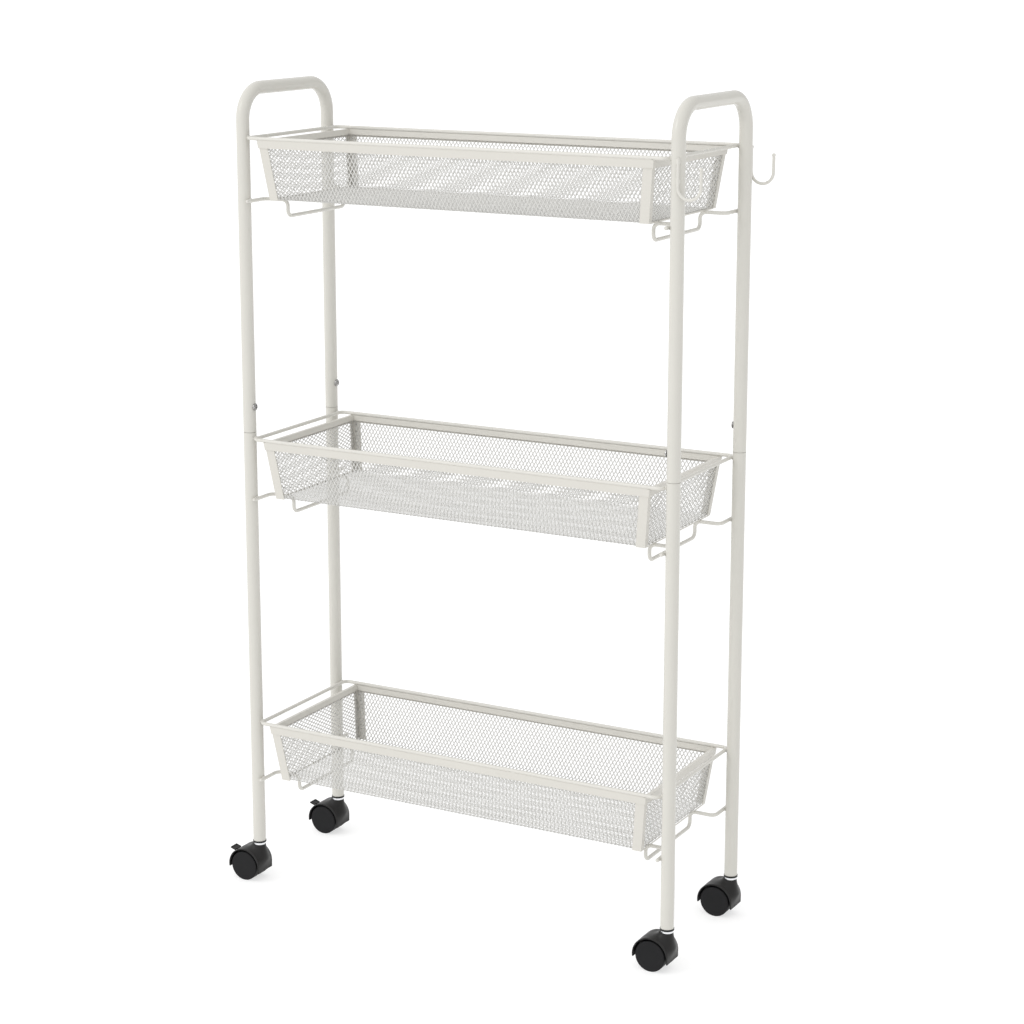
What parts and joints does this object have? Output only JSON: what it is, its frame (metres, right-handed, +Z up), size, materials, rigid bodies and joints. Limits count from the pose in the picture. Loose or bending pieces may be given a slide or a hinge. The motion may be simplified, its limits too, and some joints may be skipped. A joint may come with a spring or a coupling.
{
  "type": "rolling pantry cart",
  "caption": "Slim rolling cart: white tube frame with two hand loops, tapered mesh basket tiers, side hooks and swivelling twin-wheel casters with brake levers.",
  "frame": {"origin": "on the floor, midway between the four leg axes", "axes": "+X along the cart towards the hooks, +Y from the front to the back, +Z up"},
  "size_m": [0.5158, 0.1706, 0.803],
  "materials": {
    "tube_enamel": "satin powder coat, warm white",
    "wire_enamel": "satin powder coat, warm white",
    "sheet_enamel": "satin powder coat, warm white",
    "basket_mesh": "powder-coated expanded metal mesh",
    "zinc_screw": "zinc plated",
    "bright_steel": "bright plated",
    "caster_plastic": "moulded nylon, fine grain",
    "wheel_plastic": "moulded nylon, satin"
  },
  "bodies": {
    "frame": {"left_handle_tube": "tube_enamel", "right_handle_tube": "tube_enamel", "front_left_leg": "tube_enamel", "front_right_leg": "tube_enamel", "back_left_leg": "tube_enamel", "back_right_leg": "tube_enamel", "joint_screws": "zinc_screw", "top_rim_wire": "wire_enamel", "top_rim_band": "sheet_enamel", "top_corner_strips": "sheet_enamel", "top_mesh_basket": "basket_mesh", "top_left_bracket": "wire_enamel", "top_right_bracket": "wire_enamel", "middle_rim_wire": "wire_enamel", "middle_rim_band": "sheet_enamel", "middle_corner_strips": "sheet_enamel", "middle_mesh_basket": "basket_mesh", "middle_left_bracket": "wire_enamel", "middle_right_bracket": "wire_enamel", "bottom_rim_wire": "wire_enamel", "bottom_rim_band": "sheet_enamel", "bottom_corner_strips": "sheet_enamel", "bottom_mesh_basket": "basket_mesh", "bottom_left_bracket": "wire_enamel", "bottom_right_bracket": "wire_enamel", "front_hook": "wire_enamel", "back_hook": "wire_enamel", "front_left_stem_socket": "caster_plastic", "front_right_stem_socket": "caster_plastic", "back_left_stem_socket": "caster_plastic", "back_right_stem_socket": "caster_plastic"},
    "front_left_caster": {"front_left_caster_stem": "bright_steel", "front_left_caster_hood": "caster_plastic", "front_left_caster_axle": "bright_steel"},
    "front_left_outer_wheel": {"front_left_wheel_outer": "wheel_plastic"},
    "front_left_inner_wheel": {"front_left_wheel_inner": "wheel_plastic"},
    "front_left_brake": {"front_left_brake_lever": "caster_plastic"},
    "front_right_caster": {"front_right_caster_stem": "bright_steel", "front_right_caster_hood": "caster_plastic", "front_right_caster_axle": "bright_steel"},
    "front_right_outer_wheel": {"front_right_wheel_outer": "wheel_plastic"},
    "front_right_inner_wheel": {"front_right_wheel_inner": "wheel_plastic"},
    "back_left_caster": {"back_left_caster_stem": "bright_steel", "back_left_caster_hood": "caster_plastic", "back_left_caster_axle": "bright_steel"},
    "back_left_outer_wheel": {"back_left_wheel_outer": "wheel_plastic"},
    "back_left_inner_wheel": {"back_left_wheel_inner": "wheel_plastic"},
    "back_left_brake": {"back_left_brake_lever": "caster_plastic"},
    "back_right_caster": {"back_right_caster_stem": "bright_steel", "back_right_caster_hood": "caster_plastic", "back_right_caster_axle": "bright_steel"},
    "back_right_outer_wheel": {"back_right_wheel_outer": "wheel_plastic"},
    "back_right_inner_wheel": {"back_right_wheel_inner": "wheel_plastic"}
  },
  "joints": [
    {"name": "front_left_swivel", "type": "hinge", "parent": "frame", "child": "front_left_caster", "pos_m": [-0.228, -0.073, 0.04], "axis": [0, 0, 1], "continuous": true},
    {"name": "front_left_outer_roll", "type": "hinge", "parent": "front_left_caster", "child": "front_left_outer_wheel", "pos_m": [-0.24, -0.073, 0.015], "axis": [0, 1, 0], "continuous": true},
    {"name": "front_left_inner_roll", "type": "hinge", "parent": "front_left_caster", "child": "front_left_inner_wheel", "pos_m": [-0.24, -0.073, 0.015], "axis": [0, 1, 0], "continuous": true},
    {"name": "front_left_brake_press", "type": "hinge", "parent": "front_left_caster", "child": "front_left_brake", "pos_m": [-0.2485, -0.073, 0.0245], "axis": [0, -1, 0], "range_deg": [0, 9]},
    {"name": "front_right_swivel", "type": "hinge", "parent": "frame", "child": "front_right_caster", "pos_m": [0.228, -0.073, 0.04], "axis": [0, 0, 1], "continuous": true},
    {"name": "front_right_outer_roll", "type": "hinge", "parent": "front_right_caster", "child": "front_right_outer_wheel", "pos_m": [0.216, -0.073, 0.015], "axis": [0, 1, 0], "continuous": true},
    {"name": "front_right_inner_roll", "type": "hinge", "parent": "front_right_caster", "child": "front_right_inner_wheel", "pos_m": [0.216, -0.073, 0.015], "axis": [0, 1, 0], "continuous": true},
    {"name": "back_left_swivel", "type": "hinge", "parent": "frame", "child": "back_left_caster", "pos_m": [-0.228, 0.073, 0.04], "axis": [0, 0, 1], "continuous": true},
    {"name": "back_left_outer_roll", "type": "hinge", "parent": "back_left_caster", "child": "back_left_outer_wheel", "pos_m": [-0.24, 0.073, 0.015], "axis": [0, 1, 0], "continuous": true},
    {"name": "back_left_inner_roll", "type": "hinge", "parent": "back_left_caster", "child": "back_left_inner_wheel", "pos_m": [-0.24, 0.073, 0.015], "axis": [0, 1, 0], "continuous": true},
    {"name": "back_left_brake_press", "type": "hinge", "parent": "back_left_caster", "child": "back_left_brake", "pos_m": [-0.2485, 0.073, 0.0245], "axis": [0, -1, 0], "range_deg": [0, 9]},
    {"name": "back_right_swivel", "type": "hinge", "parent": "frame", "child": "back_right_caster", "pos_m": [0.228, 0.073, 0.04], "axis": [0, 0, 1], "continuous": true},
    {"name": "back_right_outer_roll", "type": "hinge", "parent": "back_right_caster", "child": "back_right_outer_wheel", "pos_m": [0.216, 0.073, 0.015], "axis": [0, 1, 0], "continuous": true},
    {"name": "back_right_inner_roll", "type": "hinge", "parent": "back_right_caster", "child": "back_right_inner_wheel", "pos_m": [0.216, 0.073, 0.015], "axis": [0, 1, 0], "continuous": true}
  ]
}
